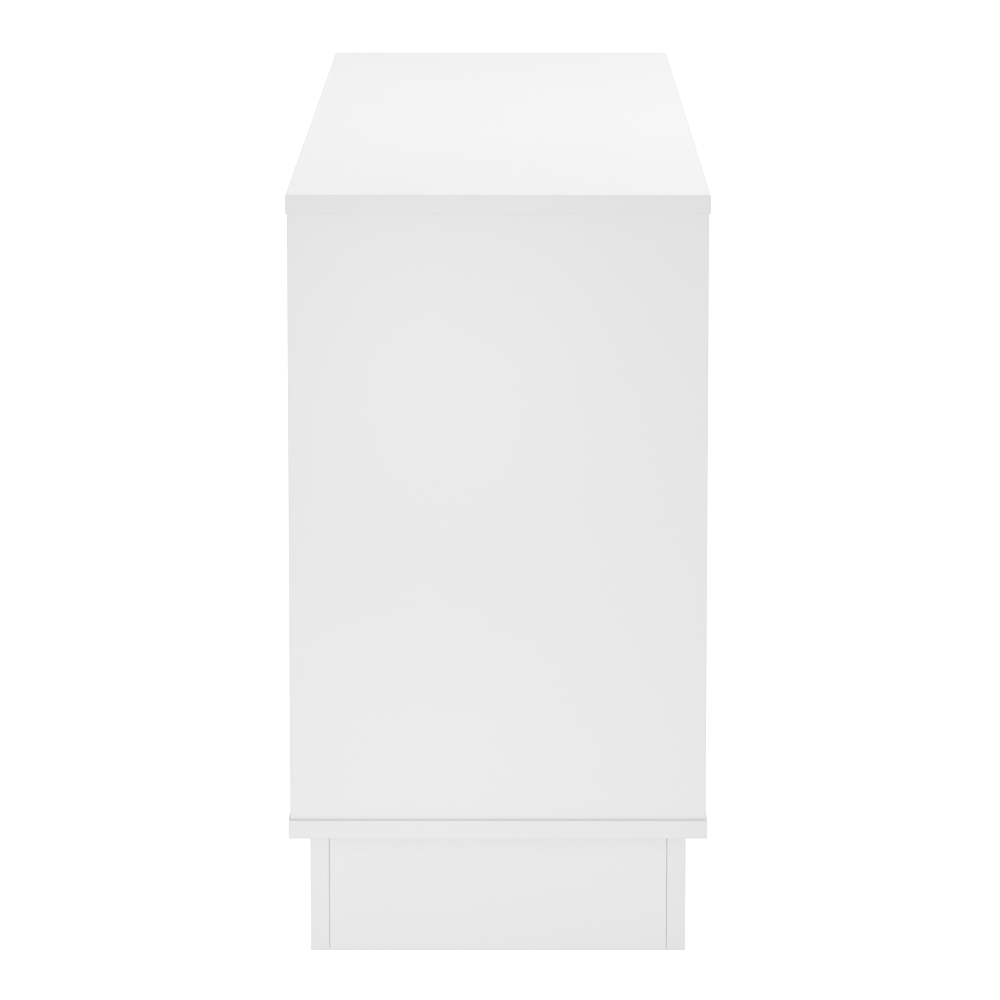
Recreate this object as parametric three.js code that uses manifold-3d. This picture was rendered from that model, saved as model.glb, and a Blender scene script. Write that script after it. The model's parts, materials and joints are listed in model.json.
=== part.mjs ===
// A low cabinet for a television: three bays between a top and a bottom board, on a recessed plinth.
// The two outer bays have inset doors that turn on pivot pins and open with push latches.
// The middle bay is open, with a fixed shelf. Millimetres, +Z up, front towards -Y.
// The origin is on the floor, under the middle of the cabinet.
import * as THREE from 'three';
import { mergeVertices } from 'three/addons/utils/BufferGeometryUtils.js';
import Module from 'manifold-3d';

const wasm = await Module();
wasm.setup();

// Carcass
const LENGTH = 1600;
const DEPTH = 400;
const BOARD = 18;
const SIDE_HEIGHT = 582;
const OVERHANG = 1.5; // the top and bottom boards stand this far past the sides, all round
const CENTRE_BAY = 525;

// Plinth
const PLINTH_HEIGHT = 114;
const PLINTH_RECESS = 20;
const PLINTH_JOINT = 0.25; // the fine gap where a cross board meets the front and the back board

// Back panel, held in grooves
const BACK_THICKNESS = 3;
const BACK_INSET = 11; // from the rear edges of the sides to the panel
const GROOVE_DEPTH = 6;
const GROOVE_PLAY = 0.5; // on each side of the panel
const CABLE_HOLE_RADIUS = 30;
const CABLE_HOLE_HEIGHT = 300;
const GROMMET_BORE_RADIUS = 27;
const GROMMET_COLLAR_RADIUS = 29.5;
const GROMMET_COLLAR_LENGTH = 5; // from the panel's rear face, through the panel
const GROMMET_FLANGE_RADIUS = 34;
const GROMMET_FLANGE_THICKNESS = 2;

// Shelves
const SHELF_FRONT_INSET = 8.5; // the open bay's shelf, behind the front edges
const HIDDEN_SHELF_INSET = 33.5; // the shelves behind the doors
const CABLE_GAP = 24; // between a shelf and the back panel
const SHELF_PLAY = 0.75; // at each end of a loose shelf
const PIN_HOLE_RADIUS = 2.8;
const PIN_HOLE_DEPTH = 9;
const PIN_PITCH = 32;
const PIN_HOLES_EACH_WAY = 2; // holes above and below the pin in use
const PIN_REST_GAP = 0.25; // between a pin and the shelf on it
const PIN_INSET = 68.5; // from the front edge, and from the rear edge, to a row of holes
const PIN_RADIUS = 2.5;
const PIN_HEAD_RADIUS = 3.5;
const PIN_LENGTH = 8; // in the hole, and again outside it

// Doors and their pivots
const DOOR_GAP = 2;
const DOOR_CORNER = 2;
const PIVOT_FROM_EDGE = 20;
const PIVOT_HOLE_RADIUS = 3.3;
const PIVOT_HOLE_DEPTH = 26;
const PIVOT_PIN_RADIUS = 3;
const PIVOT_PIN_IN_DOOR = 25;
const PIVOT_PIN_IN_BUSH = 8;
const PIVOT_COLLAR_RADIUS = 5.5;
const PIVOT_COLLAR_THICKNESS = 1; // it lies on the door's edge
const BUSH_HOLE_RADIUS = 5.3;
const BUSH_HOLE_DEPTH = 11;
const BUSH_RADIUS = 5;
const BUSH_LENGTH = 10.5;
const BUSH_BORE_DEPTH = 9;
const BUSH_FLANGE_RADIUS = 7;
const BUSH_FLANGE_THICKNESS = 0.75;

// Push latches
const LATCH_FROM_DOOR_EDGE = 37.5;
const LATCH_WIDTH = 16;
const LATCH_HEIGHT = 19;
const LATCH_LENGTH = 72;
const LATCH_SETBACK = 8.5; // behind the door's back face
const LATCH_BORE_RADIUS = 4.4;
const LATCH_BORE_DEPTH = 50;
const PLUNGER_RADIUS = 4;
const PLUNGER_LENGTH = 45;
const PLUNGER_BELOW_TOP = 11;
const PLUNGER_TIP_GAP = 0.25;
const STRIKE_RADIUS = 8;
const STRIKE_THICKNESS = 1;

// Cam fittings that pull the upright boards to the top and the bottom
const CAM_RADIUS = 7.25;
const CAM_DEPTH = 12.5;
const CAM_PLAY = 0.25;
const CAM_FROM_END = 24;
const CAM_INSET = 48.5; // from the front edge, and from the rear edge

// Facets round the turned shapes
const PIN_HOLE_FACETS = 8;
const PIN_FACETS = 12;
const FITTING_FACETS = 16;
const STRIKE_FACETS = 20;
const CABLE_HOLE_FACETS = 24;
const DOOR_CORNER_FACETS = 4;

// Levels and planes that follow from the sizes above
const FLOOR_OF_BAYS = PLINTH_HEIGHT + BOARD;
const ROOF_OF_BAYS = FLOOR_OF_BAYS + SIDE_HEIGHT;
const FRONT = OVERHANG - DEPTH / 2;
const REAR = DEPTH / 2 - OVERHANG;
const SIDE_OUTSIDE = LENGTH / 2 - OVERHANG;
const SIDE_INSIDE = SIDE_OUTSIDE - BOARD;
const DIVIDER_INNER = CENTRE_BAY / 2;
const DIVIDER_OUTER = DIVIDER_INNER + BOARD;
const BACK_REAR_FACE = REAR - BACK_INSET;
const BACK_FRONT_FACE = BACK_REAR_FACE - BACK_THICKNESS;
const GROOVE = [BACK_FRONT_FACE - GROOVE_PLAY, BACK_REAR_FACE + GROOVE_PLAY];
const PLINTH_SIDE = LENGTH / 2 - PLINTH_RECESS;
const PLINTH_FRONT = DEPTH / 2 - PLINTH_RECESS;
const SHELF_UNDERSIDE = (FLOOR_OF_BAYS + ROOF_OF_BAYS - BOARD) / 2;
const SHELF_REAR = BACK_FRONT_FACE - CABLE_GAP;
const PIN_LEVEL = SHELF_UNDERSIDE - PIN_HEAD_RADIUS - PIN_REST_GAP;
const DOOR_BACK = FRONT + BOARD;
const DOOR_OUTER_EDGE = SIDE_INSIDE - DOOR_GAP;
const DOOR_INNER_EDGE = DIVIDER_OUTER + DOOR_GAP;
const PIVOT_X = DOOR_OUTER_EDGE - PIVOT_FROM_EDGE;
const PIVOT_Y = FRONT + BOARD / 2;
const LATCH_X = DOOR_INNER_EDGE + LATCH_FROM_DOOR_EDGE;
const PLUNGER_Z = ROOF_OF_BAYS - PLUNGER_BELOW_TOP;
const PAST = 1; // a cutting tool starts this far outside the face it enters

const SIDES = { left: -1, right: 1 };
const ENDS = { upper: { z: ROOF_OF_BAYS, up: 1 }, lower: { z: FLOOR_OF_BAYS, up: -1 } };

const FINISHES = {
  board: { color: 0xf1f1ef, roughness: 0.35, metalness: 0 },
  backing: { color: 0xe6e5e1, roughness: 0.6, metalness: 0 },
  steel: { color: 0xb9bcc0, roughness: 0.35, metalness: 1 },
  zinc: { color: 0xa9a9a6, roughness: 0.5, metalness: 1 },
  plastic: { color: 0xe9e9e6, roughness: 0.45, metalness: 0 },
};

const cabinet = new THREE.Group();

function add(name, finish, geometry) {
  const mesh = new THREE.Mesh(geometry, new THREE.MeshStandardMaterial(FINISHES[finish]));
  mesh.name = name;
  cabinet.add(mesh);
}

// A box from the low and high value on each axis.
function block(x, y, z) {
  const spans = [x, y, z];
  const size = spans.map(([low, high]) => high - low);
  const middle = spans.map(([low, high]) => (low + high) / 2);
  return new THREE.BoxGeometry(...size).translate(...middle);
}

// The same span on either side of the middle, as [low, high].
function mirrored(sign, near, far) {
  return sign > 0 ? [near, far] : [-far, -near];
}

// Turns a shape made along +Y so that it points along a row axis, then moves it into place.
function aim(geometry, axis, sign, place) {
  if (axis === 'x') geometry.rotateZ(-sign * Math.PI / 2);
  if (axis === 'y' && sign < 0) geometry.rotateX(Math.PI);
  if (axis === 'z') geometry.rotateX(sign * Math.PI / 2);
  return geometry.translate(...place);
}

// A turned piece: the outline is [radius, height] points, counter-clockwise.
function turned(outline, segments, axis, sign, place) {
  const points = outline.map(([radius, height]) => new THREE.Vector2(radius, height));
  return aim(new THREE.LatheGeometry(points, segments), axis, sign, place);
}

// A plain rod that starts `back` before its place and ends `ahead` past it.
function rod(radius, back, ahead, segments, axis, sign, place) {
  const outline = [[0, -back], [radius, -back], [radius, ahead], [0, ahead]];
  return turned(outline, segments, axis, sign, place);
}

function solidOf(geometry) {
  const bare = geometry.clone();
  bare.deleteAttribute('normal');
  bare.deleteAttribute('uv');
  const merged = mergeVertices(bare);
  const vertProperties = new Float32Array(merged.attributes.position.array);
  const triVerts = new Uint32Array(merged.index.array);
  return new wasm.Manifold(new wasm.Mesh({ numProp: 3, vertProperties, triVerts }));
}

function geometryOf(solid) {
  const { vertProperties, triVerts } = solid.getMesh();
  const geometry = new THREE.BufferGeometry();
  geometry.setAttribute('position', new THREE.BufferAttribute(vertProperties, 3));
  geometry.setIndex(new THREE.BufferAttribute(triVerts, 1));
  geometry.computeVertexNormals();
  return geometry;
}

// Removes every tool from a body.
function cut(body, tools) {
  return geometryOf(tools.reduce((left, tool) => left.subtract(solidOf(tool)), solidOf(body)));
}

// The rows of shelf-pin holes: front and back, at the spacing above and below the pin in use.
function pinPlaces(x) {
  const places = [];
  for (const y of [FRONT + PIN_INSET, REAR - PIN_INSET]) {
    for (let step = -PIN_HOLES_EACH_WAY; step <= PIN_HOLES_EACH_WAY; step += 1) {
      places.push([x, y, PIN_LEVEL + step * PIN_PITCH]);
    }
  }
  return places;
}

function camPlaces(x) {
  const places = {};
  for (const [end, { z, up }] of Object.entries(ENDS)) {
    places[`${end}_front`] = [x, FRONT + CAM_INSET, z - up * CAM_FROM_END];
    places[`${end}_back`] = [x, REAR - CAM_INSET, z - up * CAM_FROM_END];
  }
  return places;
}

// Holes bored into an upright board's face, which looks along -into.
function fittingHoles(x, into) {
  const pins = pinPlaces(x).map(
    (place) => rod(PIN_HOLE_RADIUS, PAST, PIN_HOLE_DEPTH, PIN_HOLE_FACETS, 'x', into, place));
  const camHoleDepth = CAM_DEPTH + 2 * CAM_PLAY;
  const cams = Object.values(camPlaces(x)).map((place) => rod(
    CAM_RADIUS + CAM_PLAY, PAST, camHoleDepth, FITTING_FACETS, 'x', into, place));
  return [...pins, ...cams];
}

function addTopAndBottom() {
  const across = [-LENGTH / 2, LENGTH / 2];
  const deep = [-DEPTH / 2, DEPTH / 2];
  const grooveAcross = [-SIDE_INSIDE - GROOVE_DEPTH, SIDE_INSIDE + GROOVE_DEPTH];
  const boards = { upper: 'top_panel', lower: 'bottom_panel' };
  for (const [end, { z, up }] of Object.entries(ENDS)) {
    const faces = [z, z + up * BOARD].sort((a, b) => a - b);
    const groove = [z - up * PAST, z + up * GROOVE_DEPTH].sort((a, b) => a - b);
    const bushes = Object.values(SIDES).map((sign) => rod(
      BUSH_HOLE_RADIUS, PAST, BUSH_HOLE_DEPTH, FITTING_FACETS, 'z', up,
      [sign * PIVOT_X, PIVOT_Y, z]));
    const board = block(across, deep, faces);
    add(boards[end], 'board', cut(board, [block(grooveAcross, GROOVE, groove), ...bushes]));
  }
}

function addUprights() {
  const high = [FLOOR_OF_BAYS, ROOF_OF_BAYS];
  for (const [side, sign] of Object.entries(SIDES)) {
    const panel = block(mirrored(sign, SIDE_INSIDE, SIDE_OUTSIDE), [FRONT, REAR], high);
    const grooveAcross = mirrored(sign, SIDE_INSIDE - PAST, SIDE_INSIDE + GROOVE_DEPTH);
    const grooveHigh = [FLOOR_OF_BAYS - PAST, ROOF_OF_BAYS + PAST];
    const groove = block(grooveAcross, GROOVE, grooveHigh);
    const panelHoles = fittingHoles(sign * SIDE_INSIDE, sign);
    add(`side_panel_${side}`, 'board', cut(panel, [groove, ...panelHoles]));

    const divider = block(mirrored(sign, DIVIDER_INNER, DIVIDER_OUTER), [FRONT, GROOVE[0]], high);
    const dividerHoles = fittingHoles(sign * DIVIDER_OUTER, -sign);
    add(`divider_${side}`, 'board', cut(divider, dividerHoles));
  }
}

function addCams() {
  for (const [side, sign] of Object.entries(SIDES)) {
    const boards = { side_panel: [SIDE_INSIDE, sign], divider: [DIVIDER_OUTER, -sign] };
    for (const [board, [x, into]] of Object.entries(boards)) {
      for (const [corner, place] of Object.entries(camPlaces(sign * x))) {
        const cam = rod(CAM_RADIUS, -CAM_PLAY, CAM_DEPTH, FITTING_FACETS, 'x', into, place);
        add(`cam_${board}_${side}_${corner}`, 'zinc', cam);
      }
    }
  }
}

// The middle of each bay, by name.
function bayCentres() {
  const outer = (SIDE_INSIDE + DIVIDER_OUTER) / 2;
  return { left: -outer, centre: 0, right: outer };
}

function addBack() {
  const reach = SIDE_INSIDE + GROOVE_DEPTH - GROOVE_PLAY;
  const low = FLOOR_OF_BAYS - GROOVE_DEPTH + GROOVE_PLAY;
  const high = ROOF_OF_BAYS + GROOVE_DEPTH - GROOVE_PLAY;
  const panel = block([-reach, reach], [BACK_FRONT_FACE, BACK_REAR_FACE], [low, high]);
  const holes = Object.values(bayCentres()).map((x) => rod(
    CABLE_HOLE_RADIUS, BACK_THICKNESS + PAST, PAST, CABLE_HOLE_FACETS, 'y', 1,
    [x, BACK_REAR_FACE, CABLE_HOLE_HEIGHT]));
  add('back_panel', 'backing', cut(panel, holes));

  // Heights are from the panel's rear face, positive away from the cabinet.
  const ring = [
    [GROMMET_BORE_RADIUS, -GROMMET_COLLAR_LENGTH], [GROMMET_COLLAR_RADIUS, -GROMMET_COLLAR_LENGTH],
    [GROMMET_COLLAR_RADIUS, 0], [GROMMET_FLANGE_RADIUS, 0],
    [GROMMET_FLANGE_RADIUS, GROMMET_FLANGE_THICKNESS],
    [GROMMET_BORE_RADIUS, GROMMET_FLANGE_THICKNESS], [GROMMET_BORE_RADIUS, -GROMMET_COLLAR_LENGTH],
  ];
  for (const [bay, x] of Object.entries(bayCentres())) {
    const place = [x, BACK_REAR_FACE, CABLE_HOLE_HEIGHT];
    add(`cable_grommet_${bay}`, 'plastic', turned(ring, CABLE_HOLE_FACETS, 'y', 1, place));
  }
}

function addShelves() {
  const high = [SHELF_UNDERSIDE, SHELF_UNDERSIDE + BOARD];
  const open = [FRONT + SHELF_FRONT_INSET, SHELF_REAR];
  add('shelf_centre', 'board', block([-DIVIDER_INNER, DIVIDER_INNER], open, high));
  const pin = [
    [0, -PIN_LENGTH], [PIN_RADIUS, -PIN_LENGTH], [PIN_RADIUS, 0],
    [PIN_HEAD_RADIUS, 0], [PIN_HEAD_RADIUS, PIN_LENGTH], [0, PIN_LENGTH],
  ];
  for (const [side, sign] of Object.entries(SIDES)) {
    const across = mirrored(sign, DIVIDER_OUTER + SHELF_PLAY, SIDE_INSIDE - SHELF_PLAY);
    const deep = [FRONT + HIDDEN_SHELF_INSET, SHELF_REAR];
    add(`shelf_${side}`, 'board', block(across, deep, high));
    const walls = { outer: [SIDE_INSIDE, -sign], inner: [DIVIDER_OUTER, sign] };
    for (const [wall, [x, out]] of Object.entries(walls)) {
      const rows = { front: FRONT + PIN_INSET, back: REAR - PIN_INSET };
      for (const [row, y] of Object.entries(rows)) {
        const place = [sign * x, y, PIN_LEVEL];
        const geometry = turned(pin, PIN_FACETS, 'x', out, place);
        add(`shelf_pin_${side}_${wall}_${row}`, 'steel', geometry);
      }
    }
  }
}

function addPlinth() {
  const high = [0, PLINTH_HEIGHT];
  const along = [-PLINTH_SIDE, PLINTH_SIDE];
  const inner = PLINTH_FRONT - BOARD;
  const between = [PLINTH_JOINT - inner, inner - PLINTH_JOINT];
  add('plinth_front', 'board', block(along, mirrored(-1, inner, PLINTH_FRONT), high));
  add('plinth_back', 'board', block(along, mirrored(1, inner, PLINTH_FRONT), high));
  for (const [side, sign] of Object.entries(SIDES)) {
    const end = mirrored(sign, PLINTH_SIDE - BOARD, PLINTH_SIDE);
    const brace = mirrored(sign, DIVIDER_INNER, DIVIDER_OUTER);
    add(`plinth_end_${side}`, 'board', block(end, between, high));
    add(`plinth_brace_${side}`, 'board', block(brace, between, high));
  }
}

// A door with its four upright corners rounded, and a pin hole in its top and bottom edges.
function doorGeometry(sign) {
  const [low, high] = mirrored(sign, DOOR_INNER_EDGE, DOOR_OUTER_EDGE);
  const bottom = FLOOR_OF_BAYS + DOOR_GAP;
  const top = ROOF_OF_BAYS - DOOR_GAP;
  const outline = new THREE.Shape();
  outline.absarc(high - DOOR_CORNER, DOOR_BACK - DOOR_CORNER, DOOR_CORNER, 0, Math.PI / 2);
  outline.absarc(low + DOOR_CORNER, DOOR_BACK - DOOR_CORNER, DOOR_CORNER, Math.PI / 2, Math.PI);
  outline.absarc(low + DOOR_CORNER, FRONT + DOOR_CORNER, DOOR_CORNER, Math.PI, 1.5 * Math.PI);
  outline.absarc(high - DOOR_CORNER, FRONT + DOOR_CORNER, DOOR_CORNER, 1.5 * Math.PI, 2 * Math.PI);
  const options = {
    depth: top - bottom, bevelEnabled: false, curveSegments: DOOR_CORNER_FACETS,
  };
  const slab = new THREE.ExtrudeGeometry(outline, options).translate(0, 0, bottom);
  const hole = (z, into) => rod(
    PIVOT_HOLE_RADIUS, PAST, PIVOT_HOLE_DEPTH, FITTING_FACETS, 'z', into,
    [sign * PIVOT_X, PIVOT_Y, z]);
  return cut(slab, [hole(top, -1), hole(bottom, 1)]);
}

function addDoors() {
  // Heights are from the face of the board that the bush sits in, positive into that board.
  const bush = [
    [0, BUSH_BORE_DEPTH], [PIVOT_HOLE_RADIUS, BUSH_BORE_DEPTH],
    [PIVOT_HOLE_RADIUS, -BUSH_FLANGE_THICKNESS], [BUSH_FLANGE_RADIUS, -BUSH_FLANGE_THICKNESS],
    [BUSH_FLANGE_RADIUS, 0], [BUSH_RADIUS, 0], [BUSH_RADIUS, BUSH_LENGTH], [0, BUSH_LENGTH],
  ];
  const pinLow = -DOOR_GAP - PIVOT_PIN_IN_DOOR;
  const collarTop = PIVOT_COLLAR_THICKNESS - DOOR_GAP;
  const pin = [
    [0, pinLow], [PIVOT_PIN_RADIUS, pinLow], [PIVOT_PIN_RADIUS, -DOOR_GAP],
    [PIVOT_COLLAR_RADIUS, -DOOR_GAP], [PIVOT_COLLAR_RADIUS, collarTop],
    [PIVOT_PIN_RADIUS, collarTop], [PIVOT_PIN_RADIUS, PIVOT_PIN_IN_BUSH], [0, PIVOT_PIN_IN_BUSH],
  ];
  for (const [side, sign] of Object.entries(SIDES)) {
    add(`door_${side}`, 'board', doorGeometry(sign));
    for (const [end, { z, up }] of Object.entries(ENDS)) {
      const place = [sign * PIVOT_X, PIVOT_Y, z];
      const [bushShape, pinShape] = [bush, pin].map(
        (outline) => turned(outline, FITTING_FACETS, 'z', up, place));
      add(`pivot_bush_${side}_${end}`, 'plastic', bushShape);
      add(`pivot_pin_${side}_${end}`, 'steel', pinShape);
    }
  }
}

function addLatches() {
  const front = DOOR_BACK + LATCH_SETBACK;
  const high = [ROOF_OF_BAYS - LATCH_HEIGHT, ROOF_OF_BAYS];
  const half = LATCH_WIDTH / 2;
  const tip = DOOR_BACK + STRIKE_THICKNESS + PLUNGER_TIP_GAP;
  for (const [side, sign] of Object.entries(SIDES)) {
    const x = sign * LATCH_X;
    const housing = block([x - half, x + half], [front, front + LATCH_LENGTH], high);
    const bore = rod(
      LATCH_BORE_RADIUS, PAST, LATCH_BORE_DEPTH, FITTING_FACETS, 'y', 1, [x, front, PLUNGER_Z]);
    add(`latch_housing_${side}`, 'plastic', cut(housing, [bore]));
    const plunger = rod(
      PLUNGER_RADIUS, 0, PLUNGER_LENGTH, FITTING_FACETS, 'y', 1, [x, tip, PLUNGER_Z]);
    add(`latch_plunger_${side}`, 'plastic', plunger);
    const strike = rod(
      STRIKE_RADIUS, 0, STRIKE_THICKNESS, STRIKE_FACETS, 'y', 1, [x, DOOR_BACK, PLUNGER_Z]);
    add(`latch_strike_${side}`, 'steel', strike);
  }
}

addTopAndBottom();
addUprights();
addCams();
addBack();
addShelves();
addPlinth();
addDoors();
addLatches();

export default cabinet;
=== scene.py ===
"""A low white cabinet for a television: finishes, hardware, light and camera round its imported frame.

Everything is in metres in the frame's own axes: the doors face -Y, the length runs along X, +Z is up.
"""

import functools
import itertools
import json
import math

import bmesh
import bpy
from mathutils import Matrix, Vector


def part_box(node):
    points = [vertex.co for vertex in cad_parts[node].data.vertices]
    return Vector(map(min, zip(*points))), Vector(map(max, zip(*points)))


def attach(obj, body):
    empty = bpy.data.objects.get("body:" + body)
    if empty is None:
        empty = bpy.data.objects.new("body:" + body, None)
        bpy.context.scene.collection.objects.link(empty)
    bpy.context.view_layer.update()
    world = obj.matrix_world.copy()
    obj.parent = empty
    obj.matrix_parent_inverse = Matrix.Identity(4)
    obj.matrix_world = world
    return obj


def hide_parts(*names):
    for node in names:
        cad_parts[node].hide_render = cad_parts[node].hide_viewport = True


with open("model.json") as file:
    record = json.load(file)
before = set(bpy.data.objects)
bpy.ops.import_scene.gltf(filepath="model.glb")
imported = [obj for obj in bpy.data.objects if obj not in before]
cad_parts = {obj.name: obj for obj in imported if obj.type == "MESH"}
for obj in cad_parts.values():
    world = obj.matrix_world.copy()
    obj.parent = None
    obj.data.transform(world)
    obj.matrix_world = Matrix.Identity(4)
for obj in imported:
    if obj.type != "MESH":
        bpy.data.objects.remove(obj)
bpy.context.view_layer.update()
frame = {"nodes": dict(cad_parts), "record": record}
nodes = frame["nodes"]

MM = 0.001
SIDES = {"left": -1, "right": 1}
ENDS = {"upper": 1, "lower": -1}

# ---------------------------------------------------------------- camera

CAMERA_PLACE = Vector((6.2394, 0.0123, 1.3223))
CAMERA_TILT = math.radians(9.192)  # below the horizon
CAMERA_TURN = math.radians(0.1095)  # towards the front of the cabinet
CAMERA_LENS = 209.44
SENSOR_WIDTH = 36


def make_camera():
    data = bpy.data.cameras.new("camera")
    data.lens = CAMERA_LENS
    data.sensor_width = SENSOR_WIDTH
    data.clip_end = 200
    camera = bpy.data.objects.new("camera", data)
    camera.location = CAMERA_PLACE
    camera.rotation_euler = (math.pi / 2 - CAMERA_TILT, 0, math.pi / 2 + CAMERA_TURN)
    bpy.context.collection.objects.link(camera)
    bpy.context.scene.camera = camera


# ---------------------------------------------------------------- light and floor

WORLD_BRIGHT = 1.0
WORLD_DIM = 0.62  # overhead, on the side of the rear and of the near end
DIM_SIDE = Vector((0.4, 0.3, 0.87)).normalized()
DIM_FROM, DIM_TO = 0.4, 0.9  # cosines to that side, between which the studio dims
FLOOR_SIZE = 80
FLOOR_GREY = 0.2
FLOOR_ROUGHNESS = 0.9
FLOOR_SPECULAR = 0.1
FLOOR_LIGHT = 0.87
FLOOR_GLOW = 1.13  # painted pool of light: the floor itself glows brighter beside the near end, and this glow lights the plinth from below
GLOW_CENTRE = (1.3, -0.1, 0)
GLOW_CORE = 0.2  # the radius of its even middle
GLOW_RADIUS = 1.0
AREA_LIGHTS = {  # place, target, size, watts
    "overhead_softbox": ((-0.05, 0.5, 2.6), (-0.05, 0.1, 0.7), (2.4, 1.0), 19.0),
    "end_fill": ((1.3, -0.04, 0.55), (0.8, -0.04, 0.5), (0.25, 0.25), 0.22),
    "plinth_fill": ((1.5, -0.12, 0.08), (0.8, -0.1, 0.08), (0.5, 0.12), 0.23),
}


def area_light(name, place, target, size, watts):
    data = bpy.data.lights.new(name, "AREA")
    data.shape = "RECTANGLE"
    data.size, data.size_y = size
    data.energy = watts
    light = bpy.data.objects.new(name, data)
    light.location = place
    direction = Vector(target) - Vector(place)
    light.rotation_euler = direction.to_track_quat("-Z", "Y").to_euler()
    bpy.context.collection.objects.link(light)


def make_world():
    """An even white studio that dims a little towards one side."""
    world = bpy.data.worlds.new("studio")
    world.use_nodes = True
    tree = world.node_tree
    direction = tree.nodes.new("ShaderNodeTexCoord").outputs["Generated"]
    along = tree.nodes.new("ShaderNodeVectorMath")
    along.operation = "DOT_PRODUCT"
    tree.links.new(direction, along.inputs[0])
    along.inputs[1].default_value = DIM_SIDE
    fade = tree.nodes.new("ShaderNodeMapRange")
    fade.interpolation_type = "SMOOTHSTEP"
    fade.inputs["From Min"].default_value = DIM_FROM
    fade.inputs["From Max"].default_value = DIM_TO
    fade.inputs["To Min"].default_value = WORLD_BRIGHT
    fade.inputs["To Max"].default_value = WORLD_DIM
    tree.links.new(along.outputs["Value"], fade.inputs["Value"])
    background = tree.nodes["Background"]
    background.inputs["Color"].default_value = (1, 1, 1, 1)
    tree.links.new(fade.outputs["Result"], background.inputs["Strength"])
    bpy.context.scene.world = world


def make_light():
    make_world()
    bpy.context.scene.view_settings.view_transform = "Standard"
    for name, (place, target, size, watts) in AREA_LIGHTS.items():
        area_light(name, place, target, size, watts)


def make_floor():
    mesh = bpy.data.meshes.new("floor")
    half = FLOOR_SIZE / 2
    corners = [(-half, -half, 0), (half, -half, 0), (half, half, 0), (-half, half, 0)]
    mesh.from_pydata(corners, [], [(0, 1, 2, 3)])
    floor = bpy.data.objects.new("floor", mesh)
    bpy.context.collection.objects.link(floor)
    material = bpy.data.materials.new("floor")
    material.use_nodes = True
    tree = material.node_tree
    shader = tree.nodes["Principled BSDF"]
    shader.inputs["Base Color"].default_value = (FLOOR_GREY, FLOOR_GREY, FLOOR_GREY, 1)
    shader.inputs["Roughness"].default_value = FLOOR_ROUGHNESS
    shader.inputs["Specular IOR Level"].default_value = FLOOR_SPECULAR
    shader.inputs["Emission Color"].default_value = (1, 1, 1, 1)
    place = tree.nodes.new("ShaderNodeTexCoord").outputs["Object"]
    away = tree.nodes.new("ShaderNodeVectorMath")
    away.operation = "DISTANCE"
    tree.links.new(place, away.inputs[0])
    away.inputs[1].default_value = GLOW_CENTRE
    # painted pool of light: the floor's emission rises from FLOOR_LIGHT to FLOOR_GLOW round GLOW_CENTRE
    glow = tree.nodes.new("ShaderNodeMapRange")
    glow.interpolation_type = "SMOOTHSTEP"
    glow.inputs["From Min"].default_value = GLOW_CORE
    glow.inputs["From Max"].default_value = GLOW_RADIUS
    glow.inputs["To Min"].default_value = FLOOR_GLOW
    glow.inputs["To Max"].default_value = FLOOR_LIGHT
    tree.links.new(away.outputs["Value"], glow.inputs["Value"])
    tree.links.new(glow.outputs["Result"], shader.inputs["Emission Strength"])
    mesh.materials.append(material)


# ---------------------------------------------------------------- material building blocks


class Shader:
    """A material's node tree, with short calls for the nodes that are used here."""

    def __init__(self, name):
        self.material = bpy.data.materials.new(name)
        self.material.use_nodes = True
        self.tree = self.material.node_tree
        self.surface = self.tree.nodes["Principled BSDF"]
        self.place = self.tree.nodes.new("ShaderNodeTexCoord").outputs["Object"]

    def feed(self, socket, value):
        if isinstance(value, bpy.types.NodeSocket):
            self.tree.links.new(value, socket)
        else:
            socket.default_value = value

    def set(self, **values):
        """Sets or links the surface's sockets; an underscore stands for a space."""
        for name, value in values.items():
            self.feed(self.surface.inputs[name.replace("_", " ")], value)

    def math(self, operation, first, second=0.0):
        node = self.tree.nodes.new("ShaderNodeMath")
        node.operation = operation
        self.feed(node.inputs[0], first)
        self.feed(node.inputs[1], second)
        return node.outputs[0]

    def ramp(self, value, low, high, to_low=0.0, to_high=1.0):
        node = self.tree.nodes.new("ShaderNodeMapRange")
        node.interpolation_type = "SMOOTHSTEP"
        for socket, number in zip(node.inputs, (value, low, high, to_low, to_high)):
            self.feed(socket, number)
        return node.outputs[0]

    def noise(self, scale, detail=2.0, roughness=0.5, stretch=(1, 1, 1), offset=(0, 0, 0)):
        mapping = self.tree.nodes.new("ShaderNodeMapping")
        mapping.inputs["Scale"].default_value = stretch
        mapping.inputs["Location"].default_value = offset
        self.tree.links.new(self.place, mapping.inputs["Vector"])
        node = self.tree.nodes.new("ShaderNodeTexNoise")
        node.inputs["Scale"].default_value = scale
        node.inputs["Detail"].default_value = detail
        node.inputs["Roughness"].default_value = roughness
        self.tree.links.new(mapping.outputs[0], node.inputs["Vector"])
        return node.outputs["Fac"]

    def mix(self, factor, first, second):
        """Mixes two colours."""
        node = self.tree.nodes.new("ShaderNodeMixRGB")
        for socket, value in zip(node.inputs, (factor, first, second)):
            self.feed(socket, value)
        return node.outputs[0]

    def bump(self, height, distance, strength=1.0, under=None):
        node = self.tree.nodes.new("ShaderNodeBump")
        node.inputs["Strength"].default_value = strength
        node.inputs["Distance"].default_value = distance
        self.tree.links.new(height, node.inputs["Height"])
        if under is not None:
            self.tree.links.new(under, node.inputs["Normal"])
        return node.outputs["Normal"]


def grey(level, warmth=0.0):
    return (level * (1 + warmth), level, level * (1 - warmth), 1)


# ---------------------------------------------------------------- materials

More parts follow.
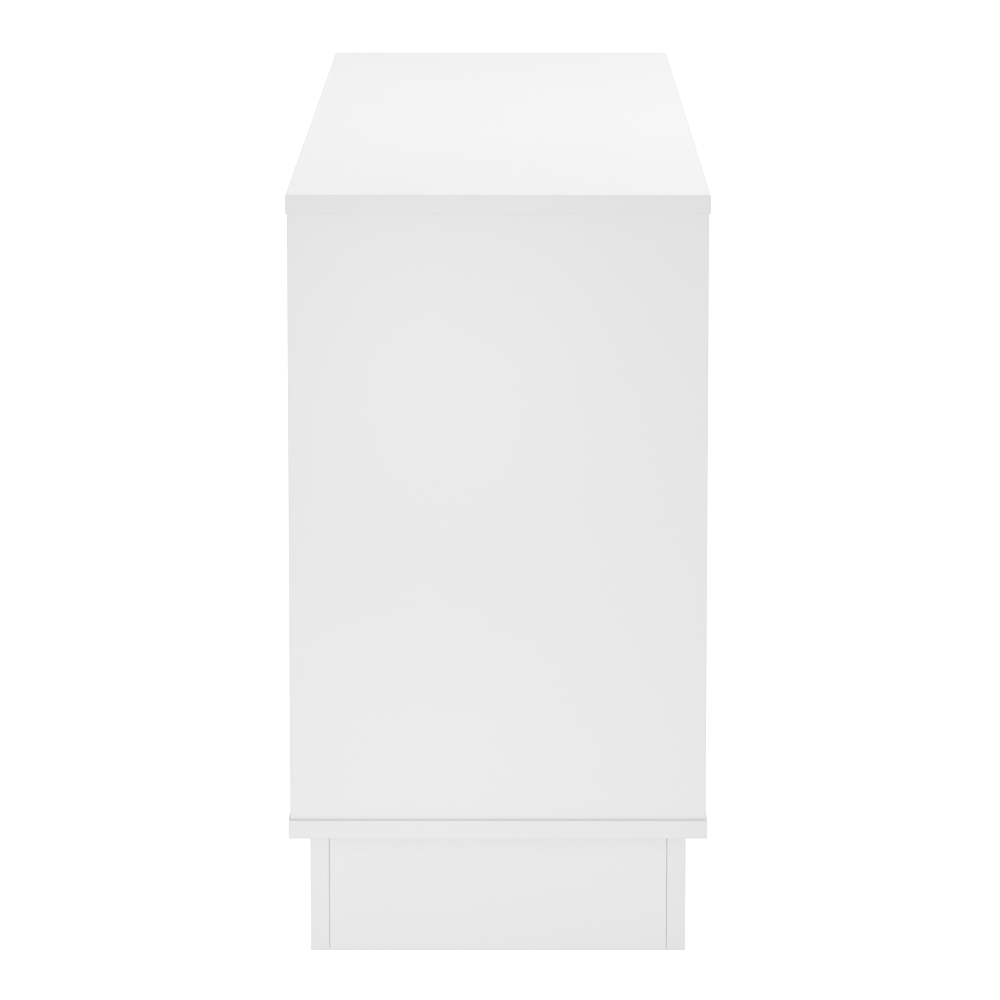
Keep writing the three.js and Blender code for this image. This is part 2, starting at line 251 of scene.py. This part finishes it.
LACQUER = 0.73
CORE_LIGHT = (0.52, 0.39, 0.25, 1)
CORE_DARK = (0.30, 0.20, 0.12, 1)
CORE_PALE = (0.62, 0.50, 0.35, 1)
SEAM_TONE = 0.3
BAND_TONE = 0.985  # of an edge band, against the board's face
BAND = 0.5 * MM  # from a board's corner edges to the fine line where its film and its edge band meet
BAND_LINE = 0.2 * MM  # half the width of that line
CORE_DEPTH = 0.8 * MM  # anything cut deeper than this into a board shows its core
FOOT_FROM, FOOT_TO = 0.2 * MM, 0.35 * MM  # above a plinth board's foot, where its bare underside ends


def board_material(name, low, high, banded, raw_foot):
    """White lacquered particleboard: bare core in holes and grooves, a fine line along banded edges.

    banded holds the axes whose outer faces are banded. An edge has its line where both of its faces are.
    """
    shader = Shader(name)
    split = shader.tree.nodes.new("ShaderNodeSeparateXYZ")
    shader.tree.links.new(shader.place, split.inputs[0])
    middle, half = (low + high) / 2, (high - low) / 2
    depths = []  # from each pair of the board's outer faces
    for axis in range(3):
        from_middle = shader.math("SUBTRACT", split.outputs[axis], middle[axis])
        distance = shader.math("ABSOLUTE", from_middle)
        depths.append(shader.math("SUBTRACT", half[axis], distance))
    thin = min(range(3), key=lambda axis: half[axis])
    least = functools.partial(shader.math, "MINIMUM")
    inside = functools.reduce(least, depths)
    core = shader.ramp(inside, CORE_DEPTH * 0.85, CORE_DEPTH)
    if raw_foot:
        above_foot = shader.math("SUBTRACT", split.outputs[2], low.z)
        foot = shader.ramp(above_foot, FOOT_FROM, FOOT_TO, 1, 0)
        core = shader.math("MAXIMUM", core, foot)

    drift = shader.noise(3.1, detail=3, offset=tuple(middle * 3))
    white = shader.mix(drift, grey(LACQUER * 0.985), grey(LACQUER * 1.01))
    on_band = shader.ramp(depths[thin], BAND_LINE, BAND)
    white = shader.mix(on_band, white, grey(LACQUER * BAND_TONE))
    fine = shader.bump(shader.noise(520), 0.05 * MM, 0.2)
    edges = [shader.math("MAXIMUM", depths[one], depths[other])
             for one, other in itertools.combinations(banded, 2)]
    if edges:
        off_line = shader.math("ABSOLUTE", shader.math("SUBTRACT", functools.reduce(least, edges), BAND))
        seam = shader.ramp(off_line, BAND_LINE * 0.4, BAND_LINE, 1, 0)
        white = shader.mix(shader.math("MULTIPLY", seam, SEAM_TONE), white, grey(0.35, 0.02))
        fine = shader.bump(shader.math("MULTIPLY", seam, -1), 0.05 * MM, 0.6, under=fine)
    chips = shader.ramp(shader.noise(420, detail=4, roughness=0.6), 0.35, 0.65)
    flakes = shader.ramp(shader.noise(190, stretch=(1, 1, 2.5)), 0.56, 0.62)
    chipped = shader.mix(chips, CORE_DARK, CORE_LIGHT)
    bare = shader.mix(flakes, chipped, CORE_PALE)
    smear = shader.noise(9, detail=4, roughness=0.6, stretch=(1, 1, 0.35))
    gloss = shader.ramp(smear, 0.3, 0.7, 0.32, 0.345)
    rough = shader.math("MAXIMUM", gloss, shader.math("MULTIPLY", core, 0.9))
    shader.set(Base_Color=shader.mix(core, white, bare), Roughness=rough, Normal=fine)
    shader.set(Specular_IOR_Level=0.5)
    return shader.material


def backing_material():
    """Painted hardboard: an even front, a faint screen pattern, low sheen."""
    shader = Shader("painted_hardboard")
    blotch = shader.noise(26, detail=5, roughness=0.6)
    colour = shader.mix(blotch, grey(LACQUER * 0.93, 0.004), grey(LACQUER * 0.985, 0.004))
    weave = shader.tree.nodes.new("ShaderNodeTexVoronoi")
    weave.inputs["Scale"].default_value = 700
    weave.inputs["Randomness"].default_value = 0.25
    shader.tree.links.new(shader.place, weave.inputs["Vector"])
    fibre = shader.bump(shader.noise(180, detail=4, roughness=0.7), 0.12 * MM, 0.35)
    screen = shader.bump(weave.outputs["Distance"], 0.08 * MM, 0.4, under=fibre)
    rough = shader.ramp(blotch, 0.3, 0.7, 0.5, 0.62)
    shader.set(Base_Color=colour, Roughness=rough, Normal=screen)
    return shader.material


def plastic_material(level=0.74):
    """Moulded plastic with a fine matt grain."""
    shader = Shader("white_plastic")
    grain = shader.noise(1500, detail=3)
    tone = shader.noise(60, detail=3)
    colour = shader.mix(tone, grey(level * 0.96, 0.008), grey(level * 1.02, 0.008))
    rough = shader.ramp(grain, 0.3, 0.7, 0.42, 0.55)
    normal = shader.bump(grain, 0.03 * MM, 0.4)
    shader.set(Base_Color=colour, Roughness=rough, Normal=normal)
    shader.set(Subsurface_Weight=0.05, Subsurface_Scale=0.002)
    return shader.material


def steel_material():
    """Bright zinc-plated steel: faint turning marks and a patchy passivated tint."""
    shader = Shader("plated_steel")
    patch = shader.noise(140, detail=4, roughness=0.6)
    colour = shader.mix(patch, (0.55, 0.57, 0.60, 1), (0.70, 0.70, 0.68, 1))
    marks = shader.noise(900, detail=3, roughness=0.6, stretch=(1, 1, 6))
    rough = shader.ramp(marks, 0.3, 0.7, 0.22, 0.38)
    normal = shader.bump(marks, 0.02 * MM, 0.4)
    shader.set(Base_Color=colour, Roughness=rough, Normal=normal, Metallic=1.0)
    return shader.material


def zinc_material():
    """Die-cast zinc: dull and slightly mottled, with a cast grain."""
    shader = Shader("cast_zinc")
    mottle = shader.noise(380, detail=5, roughness=0.7)
    colour = shader.mix(mottle, (0.36, 0.36, 0.36, 1), (0.50, 0.50, 0.49, 1))
    rough = shader.ramp(mottle, 0.3, 0.7, 0.4, 0.6)
    normal = shader.bump(mottle, 0.05 * MM, 0.5)
    shader.set(Base_Color=colour, Roughness=rough, Normal=normal, Metallic=1.0)
    return shader.material


FINISH = {
    "backing": backing_material(),
    "plastic": plastic_material(),
    "steel": steel_material(),
    "zinc": zinc_material(),
}

# ---------------------------------------------------------------- carried-over CAD nodes

ARRIS = 0.4 * MM  # the rounding of a board's edges
SQUARE_ARRIS = 0.1 * MM  # the same on a board that butts against others
ALL_AXES = (0, 1, 2)
BANDED = {  # the boards that butt against others have bands on some of their faces only
    "side_panel": (0, 1),
    "divider": (0, 1),
    "plinth_front": (0, 1),
    "plinth_back": (0, 1),
    "plinth": (),
}
BOARDS = {part["node"] for part in frame["record"]["subparts"] if part["material_slot"] == "board"}
SLOT = {part["node"]: part["material_slot"] for part in frame["record"]["subparts"]}


def soften(node, width, segments=3):
    """Rounds a node's sharp edges with modifiers, which leave its own mesh as it is."""
    piece = nodes[node]
    weld = piece.modifiers.new("weld", "WELD")
    weld.merge_threshold = 0.01 * MM
    flatten = piece.modifiers.new("flatten", "DECIMATE")
    flatten.decimate_type = "DISSOLVE"
    flatten.angle_limit = math.radians(1)
    bevel = piece.modifiers.new("arris", "BEVEL")
    bevel.width = width
    bevel.segments = segments
    bevel.limit_method = "ANGLE"
    bevel.angle_limit = math.radians(35)


def finish_node(node, material):
    piece = nodes[node]
    for place in range(len(piece.material_slots)):
        piece.material_slots[place].material = material


def finish_cad_nodes():
    for node in sorted(SLOT):
        if node in BOARDS:
            low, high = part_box(node)
            banded = next((axes for start, axes in BANDED.items() if node.startswith(start)), ALL_AXES)
            raw_foot = node.startswith("plinth")
            finish_node(node, board_material(f"lacquer_{node}", low, high, banded, raw_foot))
            soften(node, ARRIS if banded == ALL_AXES else SQUARE_ARRIS)
        else:
            finish_node(node, FINISH[SLOT[node]])
    soften("back_panel", 0.2 * MM, 2)
    for side in SIDES:
        for end in ENDS:
            soften(f"pivot_bush_{side}_{end}", 0.15 * MM, 2)
            soften(f"pivot_pin_{side}_{end}", 0.15 * MM, 2)


# ---------------------------------------------------------------- mesh building blocks

AIMS = {
    "+x": Matrix.Rotation(math.pi / 2, 4, "Y"),
    "-x": Matrix.Rotation(-math.pi / 2, 4, "Y"),
    "+y": Matrix.Rotation(-math.pi / 2, 4, "X"),
    "-y": Matrix.Rotation(math.pi / 2, 4, "X"),
    "+z": Matrix.Identity(4),
    "-z": Matrix.Rotation(math.pi, 4, "X"),
}


def mesh_from(bm, name, smooth_above=35):
    """Turns a bmesh into a mesh, smooth except across edges sharper than the given angle."""
    bmesh.ops.recalc_face_normals(bm, faces=bm.faces)
    mesh = bpy.data.meshes.new(name)
    bm.to_mesh(mesh)
    bm.free()
    mesh.shade_smooth()
    mesh.set_sharp_from_angle(angle=math.radians(smooth_above))
    return mesh


def lathe(name, outline, segments=48):
    """A turned mesh about +Z from [radius, height] points in millimetres, from axis to axis or closed."""
    bm = bmesh.new()
    points = [bm.verts.new((radius * MM, 0, height * MM)) for radius, height in outline]
    closed = outline[0] == outline[-1]
    if closed:
        bm.verts.remove(points.pop())
    edges = [bm.edges.new(pair) for pair in zip(points, points[1:])]
    if closed:
        edges.append(bm.edges.new((points[-1], points[0])))
    bmesh.ops.spin(bm, geom=points + edges, cent=(0, 0, 0), axis=(0, 0, 1),
                   angle=2 * math.pi, steps=segments, use_merge=True)
    bmesh.ops.remove_doubles(bm, verts=bm.verts, dist=0.001 * MM)
    return mesh_from(bm, name)


def rounded_corner(radius, height, size, start, steps=4):
    """A quarter round of that size about (radius, height), from angle start, anticlockwise."""
    angles = [start + math.pi / 2 * step / steps for step in range(steps + 1)]
    return [[radius + size * math.cos(angle), height + size * math.sin(angle)] for angle in angles]


def block_mesh(name, size, rounding, segments=3):
    """A box with rounded edges about its own middle; sizes in millimetres."""
    bm = bmesh.new()
    bmesh.ops.create_cube(bm, size=1)
    bmesh.ops.scale(bm, vec=Vector(size) * MM, verts=bm.verts)
    bmesh.ops.bevel(bm, geom=bm.edges, offset=rounding * MM, segments=segments,
                    affect="EDGES", profile=0.5)
    return mesh_from(bm, name)


def carve(mesh, cutters, name):
    """The mesh with each (cutter mesh, matrix) taken out of it."""
    body = bpy.data.objects.new("carve_body", mesh)
    bpy.context.collection.objects.link(body)
    tools = []
    for cutter, matrix in cutters:
        tool = bpy.data.objects.new("carve_tool", cutter)
        tool.matrix_world = matrix
        bpy.context.collection.objects.link(tool)
        cut = body.modifiers.new("cut", "BOOLEAN")
        cut.operation = "DIFFERENCE"
        cut.solver = "EXACT"
        cut.object = tool
        tools.append(tool)
    bpy.context.view_layer.update()
    evaluated = body.evaluated_get(bpy.context.evaluated_depsgraph_get())
    carved = bpy.data.meshes.new_from_object(evaluated)
    carved.name = name
    for leftover in [body, *tools]:
        bpy.data.objects.remove(leftover)
    carved.shade_smooth()
    carved.set_sharp_from_angle(angle=math.radians(35))
    return carved


def place_piece(name, mesh, matrix, body, slot, stands_for=None):
    """Puts a mesh in place as a piece of the object, with the finish of one of the record's slots."""
    own = mesh.copy()
    own.name = name
    own.materials.clear()
    own.materials.append(FINISH[slot])
    own.transform(matrix)
    piece = bpy.data.objects.new(name, own)
    bpy.context.collection.objects.link(piece)
    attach(piece, body)
    if stands_for:
        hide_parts(stands_for)
    return piece


def cross_cutters(length, width, depth, top):
    """Two crossed slots, sunk from height top; sizes in millimetres."""
    slot_shape = block_mesh("slot_cutter", (length, width, depth * 2), width * 0.3, 2)
    upright = Matrix.Translation((0, 0, top * MM))
    return [(slot_shape, upright), (slot_shape, upright @ Matrix.Rotation(math.pi / 2, 4, "Z"))]


def pan_head(name, radius, height):
    """A pan-head screw with a cross drive: its head stands on height 0, and its shank goes below."""
    shank, point = radius * 0.45, -4 * height
    crown = 0.6 * height
    outline = [[0, point], [shank * 0.4, point], [shank, -3 * height], [shank, 0], [radius, 0]]
    outline += rounded_corner(radius - crown, 0.4 * height, crown, 0)
    outline += [[0, height]]
    drive = cross_cutters(radius * 1.05, radius * 0.26, height * 0.75, height)
    return carve(lathe(name, outline), drive, name)


# ---------------------------------------------------------------- fittings


def centre_of(node):
    low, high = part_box(node)
    return (low + high) / 2


def aimed(aim, place):
    return Matrix.Translation(place) @ AIMS[aim]


def make_cams():
    """Cam discs set flush in the boards, with a cross drive and a mark that points to the bolt."""
    low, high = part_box("cam_side_panel_right_upper_front")
    radius, depth = (high.z - low.z) / 2 / MM, (high.x - low.x) / MM
    rim, dish, dish_floor, mark_out = 0.5, 5.4, 5.0, 6.2
    outline = [[0, -depth], [radius, -depth], [radius, -rim]]
    outline += rounded_corner(radius - rim, -rim, rim, 0)[1:]
    outline += [[dish, 0], [dish_floor, -rim], [0, -rim]]
    mark_cutter = block_mesh("mark_cutter", (1.2, 2.2, 1.6), 0.2, 1)
    mark = (mark_cutter, Matrix.Translation((0, mark_out * MM, 0)))
    drive = cross_cutters(7.2, 1.7, 3.2, -rim)
    disc = carve(lathe("cam", outline, 56), [*drive, mark], "cam")
    for side, sign in SIDES.items():
        for board, out in (("side_panel", -sign), ("divider", sign)):
            for end, up in ENDS.items():
                for row in ("front", "back"):
                    node = f"cam_{board}_{side}_{end}_{row}"
                    low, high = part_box(node)
                    face = centre_of(node)
                    face.x = high.x if out > 0 else low.x
                    aim = aimed("+x" if out > 0 else "-x", face)
                    to_bolt = Matrix.Rotation(math.pi / 2 * out * up, 4, "Z")
                    place_piece(f"{node}_disc", disc, aim @ to_bolt, "carcass", "zinc", node)


def make_shelf_pins():
    """Steel pins with a rounded nose and a shoulder against the board."""
    reach, shank, head, nose = 8, 2.5, 3.5, 0.8
    outline = [[0, -reach], [shank - 0.5, -reach], [shank, 0.5 - reach], [shank, 0]]
    outline += [[head - 0.2, 0], [head, 0.2], [head, reach - nose]]
    outline += rounded_corner(head - nose, reach - nose, nose, 0)[1:]
    outline += [[0, reach]]
    pin = lathe("shelf_pin", outline)
    for side, sign in SIDES.items():
        for wall, out in (("outer", -sign), ("inner", sign)):
            for row in ("front", "back"):
                node = f"shelf_pin_{side}_{wall}_{row}"
                place = aimed("+x" if out > 0 else "-x", centre_of(node))
                place_piece(f"{node}_turned", pin, place, "carcass", "steel", node)


def make_grommets():
    """Snap-in cable rings: a rounded flange outside the panel and a collar through it."""
    hole, collar, flange = 27, 29.5, 34
    length, chamfer, lip, shoulder = 5, 0.4, 1.2, 0.8
    start = [hole, chamfer - length]
    outline = [start, [hole + chamfer, -length], [collar - chamfer, -length]]
    outline += [[collar, chamfer - length], [collar, 0], [flange - chamfer, 0], [flange, chamfer]]
    outline += rounded_corner(flange - lip, shoulder, lip, 0)[1:]
    outline += rounded_corner(hole + lip, shoulder, lip, math.pi / 2)
    outline += [start]
    ring = lathe("grommet", outline, 96)
    panel_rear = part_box("back_panel")[1].y
    for bay in ("left", "centre", "right"):
        node = f"cable_grommet_{bay}"
        middle = centre_of(node)
        middle.y = panel_rear
        place_piece(f"{node}_ring", ring, aimed("+y", middle), "carcass", "plastic", node)


ROD_RADIUS, ROD_HALF_LENGTH = 4, 22.5
SEAT_RADIUS, SEAT_DEPTH = 3.0, 0.9  # the magnet's seat in the tip of the rod
GROOVE, GROOVE_DEPTH, GROOVE_STEP = -18, 0.3, 0.4  # where the rod's groove starts, along the rod
MAGNET_RADIUS, MAGNET_THICKNESS = 2.9, 0.7
MAGNET_BACK = 0.3  # from the rod's tip
STRIKE_RADIUS, STRIKE_THICKNESS, STRIKE_DISH = 8, 1, 0.35
BORE_RADIUS, BORE_MOUTH, BORE_DEPTH = 4.4, 4.9, 50
EAR_SIZE = (9, 12, 2)
EAR_OUT = 4  # from the housing's side to the ear's middle
EAR_SHARES = (0.2, 0.8)  # how far back along the housing each ear is


def make_latches():
    """The housing and its ears, the moving rod with its magnet, and the strike on the door."""
    # the rod, from the magnet's seat over the tip and a fine groove to the far end
    tip_end, far_end = -ROD_HALF_LENGTH, ROD_HALF_LENGTH
    seat, neck = tip_end + SEAT_DEPTH, ROD_RADIUS - GROOVE_DEPTH
    rod_outline = [[0, seat], [SEAT_RADIUS, seat], [SEAT_RADIUS, tip_end + 0.2]]
    rod_outline += [[SEAT_RADIUS + 0.2, tip_end], [ROD_RADIUS - 0.5, tip_end]]
    rod_outline += [[ROD_RADIUS, tip_end + 0.5], [ROD_RADIUS, GROOVE]]
    rod_outline += [[neck, GROOVE + GROOVE_STEP], [neck, GROOVE + 2 * GROOVE_STEP]]
    rod_outline += [[ROD_RADIUS, GROOVE + 3 * GROOVE_STEP], [ROD_RADIUS, far_end - 0.5]]
    rod_outline += [[ROD_RADIUS - 0.4, far_end], [0, far_end]]
    magnet_outline = [[0, 0], [MAGNET_RADIUS - 0.2, 0], [MAGNET_RADIUS, 0.2]]
    magnet_outline += [[MAGNET_RADIUS, MAGNET_THICKNESS], [0, MAGNET_THICKNESS]]
    strike_outline = [[0, 0], [STRIKE_RADIUS, 0], [STRIKE_RADIUS, STRIKE_THICKNESS - 0.4]]
    strike_outline += [[STRIKE_RADIUS - 0.4, STRIKE_THICKNESS], [3.6, STRIKE_THICKNESS]]
    strike_outline += [[2.4, STRIKE_DISH], [0, STRIKE_DISH]]
    rod = lathe("latch_rod", rod_outline)
    magnet = lathe("latch_magnet", magnet_outline)
    strike_drive = cross_cutters(3.0, 0.8, 0.5, STRIKE_DISH)
    strike = carve(lathe("latch_strike", strike_outline, 56), strike_drive, "strike")
    bore_outline = [[0, -1], [BORE_MOUTH, -1], [BORE_MOUTH, 0], [BORE_RADIUS, 0.5]]
    bore_outline += [[BORE_RADIUS, BORE_DEPTH], [0, BORE_DEPTH]]
    bore = lathe("latch_bore", bore_outline, 64)
    low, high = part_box("latch_housing_left")
    bore_rise = centre_of("latch_plunger_left").z - (low.z + high.z) / 2
    mouth = Vector((0, (low.y - high.y) / 2, bore_rise))
    housing = block_mesh("latch_housing", (high - low) / MM, 0.9)
    housing = carve(housing, [(bore, aimed("+y", mouth))], "latch_housing")
    ear = block_mesh("latch_ear", EAR_SIZE, 0.9)
    screw = pan_head("latch_screw", 3.0, 1.7)
    for side in SIDES:
        plunger = f"latch_plunger_{side}"
        low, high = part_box(plunger)
        middle = (low + high) / 2
        place_piece(f"{plunger}_rod", rod, aimed("+y", middle), f"plunger_{side}", "plastic", plunger)
        tip = Vector((middle.x, low.y + MAGNET_BACK * MM, middle.z))
        place_piece(f"latch_magnet_{side}", magnet, aimed("+y", tip), f"plunger_{side}", "steel")
        node = f"latch_strike_{side}"
        low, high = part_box(node)
        face = Vector((centre_of(node).x, low.y, centre_of(node).z))
        place_piece(f"{node}_disc", strike, aimed("+y", face), f"door_{side}", "steel", node)
        node = f"latch_housing_{side}"
        low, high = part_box(node)
        at_centre = Matrix.Translation(centre_of(node))
        place_piece(f"{node}_case", housing, at_centre, "carcass", "plastic", node)
        sides = zip((low.x, high.x), (-1, 1), EAR_SHARES)
        for number, (edge, outward, share) in enumerate(sides):
            along = low.y + share * (high.y - low.y)
            at = Vector((edge + outward * EAR_OUT * MM, along, high.z - 1 * MM))
            place_piece(f"latch_ear_{side}_{number}", ear, Matrix.Translation(at), "carcass", "plastic")
            under = at + Vector((outward * 0.5 * MM, 0, -1 * MM))
            place_piece(f"latch_screw_{side}_{number}", screw, aimed("-z", under), "carcass", "steel")


BACK_SCREWS = 4  # into each divider
FIRST_BACK_SCREW = 0.08  # of the divider's height
BACK_SCREW_PITCH = 0.28  # of the same


def make_back_screws():
    """Screws through the back panel into the dividers' rear edges."""
    screw = pan_head("back_screw", 3.8, 2.0)
    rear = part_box("back_panel")[1].y
    for side in SIDES:
        low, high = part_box(f"divider_{side}")
        for number in range(BACK_SCREWS):
            share = FIRST_BACK_SCREW + BACK_SCREW_PITCH * number
            at = Vector(((low.x + high.x) / 2, rear, low.z + share * (high.z - low.z)))
            place_piece(f"back_screw_{side}_{number}", screw, aimed("+y", at), "carcass", "steel")


BRACKET_PLACES = (-0.62, -0.14, 0.14, 0.62)  # along the length
BRACKET_SCREW_OUT = 17  # from the bracket's corner


def make_plinth_brackets():
    """Small steel angles that fix the plinth under the bottom board, with a screw in each leg."""
    leg, thick, wide = 26, 1.8, 18
    bm = bmesh.new()
    outline = [(0, 0), (leg, 0), (leg, -thick), (thick, -thick), (thick, -leg), (0, -leg)]
    ring = [bm.verts.new((0, y * MM, z * MM)) for y, z in outline]
    face = bm.faces.new(ring)
    swept = bmesh.ops.extrude_face_region(bm, geom=[face])["geom"]
    moved = [item for item in swept if isinstance(item, bmesh.types.BMVert)]
    bmesh.ops.translate(bm, vec=(wide * MM, 0, 0), verts=moved)
    bmesh.ops.translate(bm, vec=(-wide / 2 * MM, 0, 0), verts=bm.verts)
    bmesh.ops.bevel(bm, geom=bm.edges, offset=0.35 * MM, segments=2, affect="EDGES", profile=0.5)
    bracket = mesh_from(bm, "bracket")
    screw = pan_head("bracket_screw", 3.6, 1.9)
    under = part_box("bottom_panel")[0].z
    for board, inward in (("plinth_front", 1), ("plinth_back", -1)):
        low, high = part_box(board)
        wall = high.y if inward > 0 else low.y
        half_turn = Matrix.Rotation(0 if inward > 0 else math.pi, 4, "Z")
        for number, x in enumerate(BRACKET_PLACES):
            corner = Vector((x, wall, under))
            name = f"{board}_bracket_{number}"
            place_piece(name, bracket, Matrix.Translation(corner) @ half_turn, "carcass", "steel")
            up_leg = corner + Vector((0, inward * BRACKET_SCREW_OUT * MM, -thick * MM))
            place_piece(f"{name}_screw_up", screw, aimed("-z", up_leg), "carcass", "steel")
            wall_leg = corner + Vector((0, inward * thick * MM, -BRACKET_SCREW_OUT * MM))
            aim = "+y" if inward > 0 else "-y"
            place_piece(f"{name}_screw_in", screw, aimed(aim, wall_leg), "carcass", "steel")


make_camera()
make_light()
make_floor()
finish_cad_nodes()
make_cams()
make_shelf_pins()
make_grommets()
make_latches()
make_back_screws()
make_plinth_brackets()
